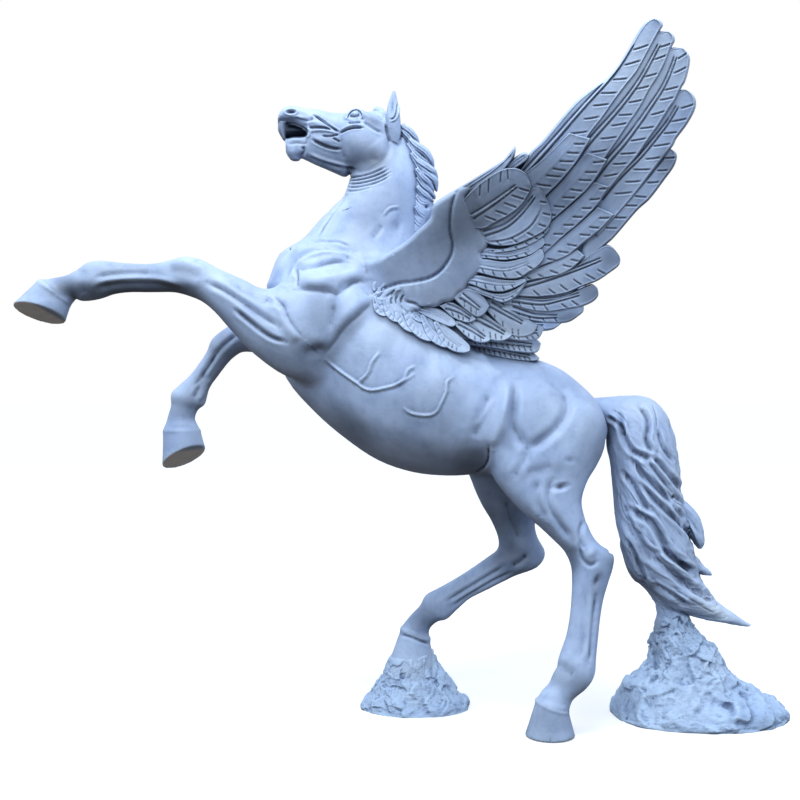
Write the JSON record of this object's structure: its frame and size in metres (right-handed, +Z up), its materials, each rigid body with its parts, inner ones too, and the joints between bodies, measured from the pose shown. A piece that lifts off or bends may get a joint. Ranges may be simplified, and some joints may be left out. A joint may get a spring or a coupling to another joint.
{
  "type": "rearing pegasus statue",
  "caption": "Life-size rearing winged horse statue with raised feathered wings, long tail and open mouth, standing on its hind feet and rough rocks.",
  "frame": {"origin": "centre of the bounding box at floor level", "axes": "+Z up, +X from the raised fore hooves towards the tail, +Y towards the horse's right side"},
  "size_m": [3.4334, 1.5148, 2.9009],
  "materials": {
    "figure": "satin pale blue-grey paint, slightly mottled",
    "rock": "matt pale blue-grey paint over a coarse pitted surface"
  },
  "bodies": {
    "root": {"horse": "figure", "wing_left": "figure", "wing_right": "figure", "rock_under_hoof": "rock", "rock_under_tail": "rock"}
  },
  "joints": []
}
